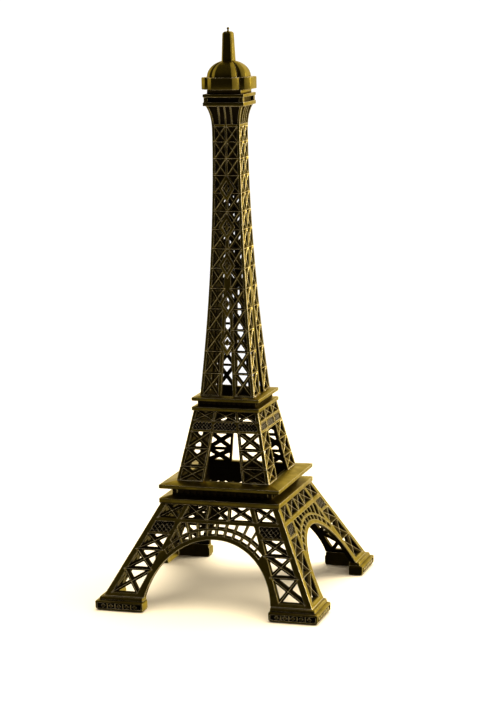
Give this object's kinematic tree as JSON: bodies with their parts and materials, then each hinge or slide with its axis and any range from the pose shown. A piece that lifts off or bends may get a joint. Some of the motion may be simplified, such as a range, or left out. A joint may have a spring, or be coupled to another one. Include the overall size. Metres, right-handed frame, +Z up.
{
  "type": "miniature lattice tower",
  "caption": "Antique brass miniature of an iron lattice tower: arched legs on square feet, three platforms, a curved lattice shaft, a domed cabin and a spire.",
  "frame": {"origin": "middle of the footprint, on the surface that the feet stand on", "axes": "+Z up the tower; the front face, which carries the raised lozenges, looks towards -Y; +X is to the right of somebody facing it"},
  "size_m": [0.0726, 0.0726, 0.18],
  "materials": {
    "antique_brass": "antiqued: dark olive ground, rubbed golden edges",
    "blackened_brass": "near-black recess",
    "screw_brass": "dull machined"
  },
  "bodies": {
    "root": {"foot_front_right": "antique_brass", "foot_back_right": "antique_brass", "foot_back_left": "antique_brass", "foot_front_left": "antique_brass", "arch_panel_front": "antique_brass", "arch_panel_right": "antique_brass", "arch_panel_back": "antique_brass", "arch_panel_left": "antique_brass", "first_platform_plate": "antique_brass", "first_platform_gallery": "blackened_brass", "first_platform_deck": "antique_brass", "first_platform_screws": "screw_brass", "mid_panel_front": "antique_brass", "mid_panel_right": "antique_brass", "mid_panel_back": "antique_brass", "mid_panel_left": "antique_brass", "second_platform_plate": "antique_brass", "second_platform_gallery": "blackened_brass", "second_platform_deck": "antique_brass", "second_platform_screws": "screw_brass", "shaft_panel_front": "antique_brass", "shaft_panel_right": "antique_brass", "shaft_panel_back": "antique_brass", "shaft_panel_left": "antique_brass", "third_platform_plate": "antique_brass", "third_platform_gallery": "blackened_brass", "third_platform_deck": "antique_brass", "cabin_neck": "antique_brass", "cabin": "antique_brass", "dome": "antique_brass", "spire": "antique_brass", "spire_tip": "antique_brass", "top_screw": "screw_brass"}
  },
  "joints": []
}
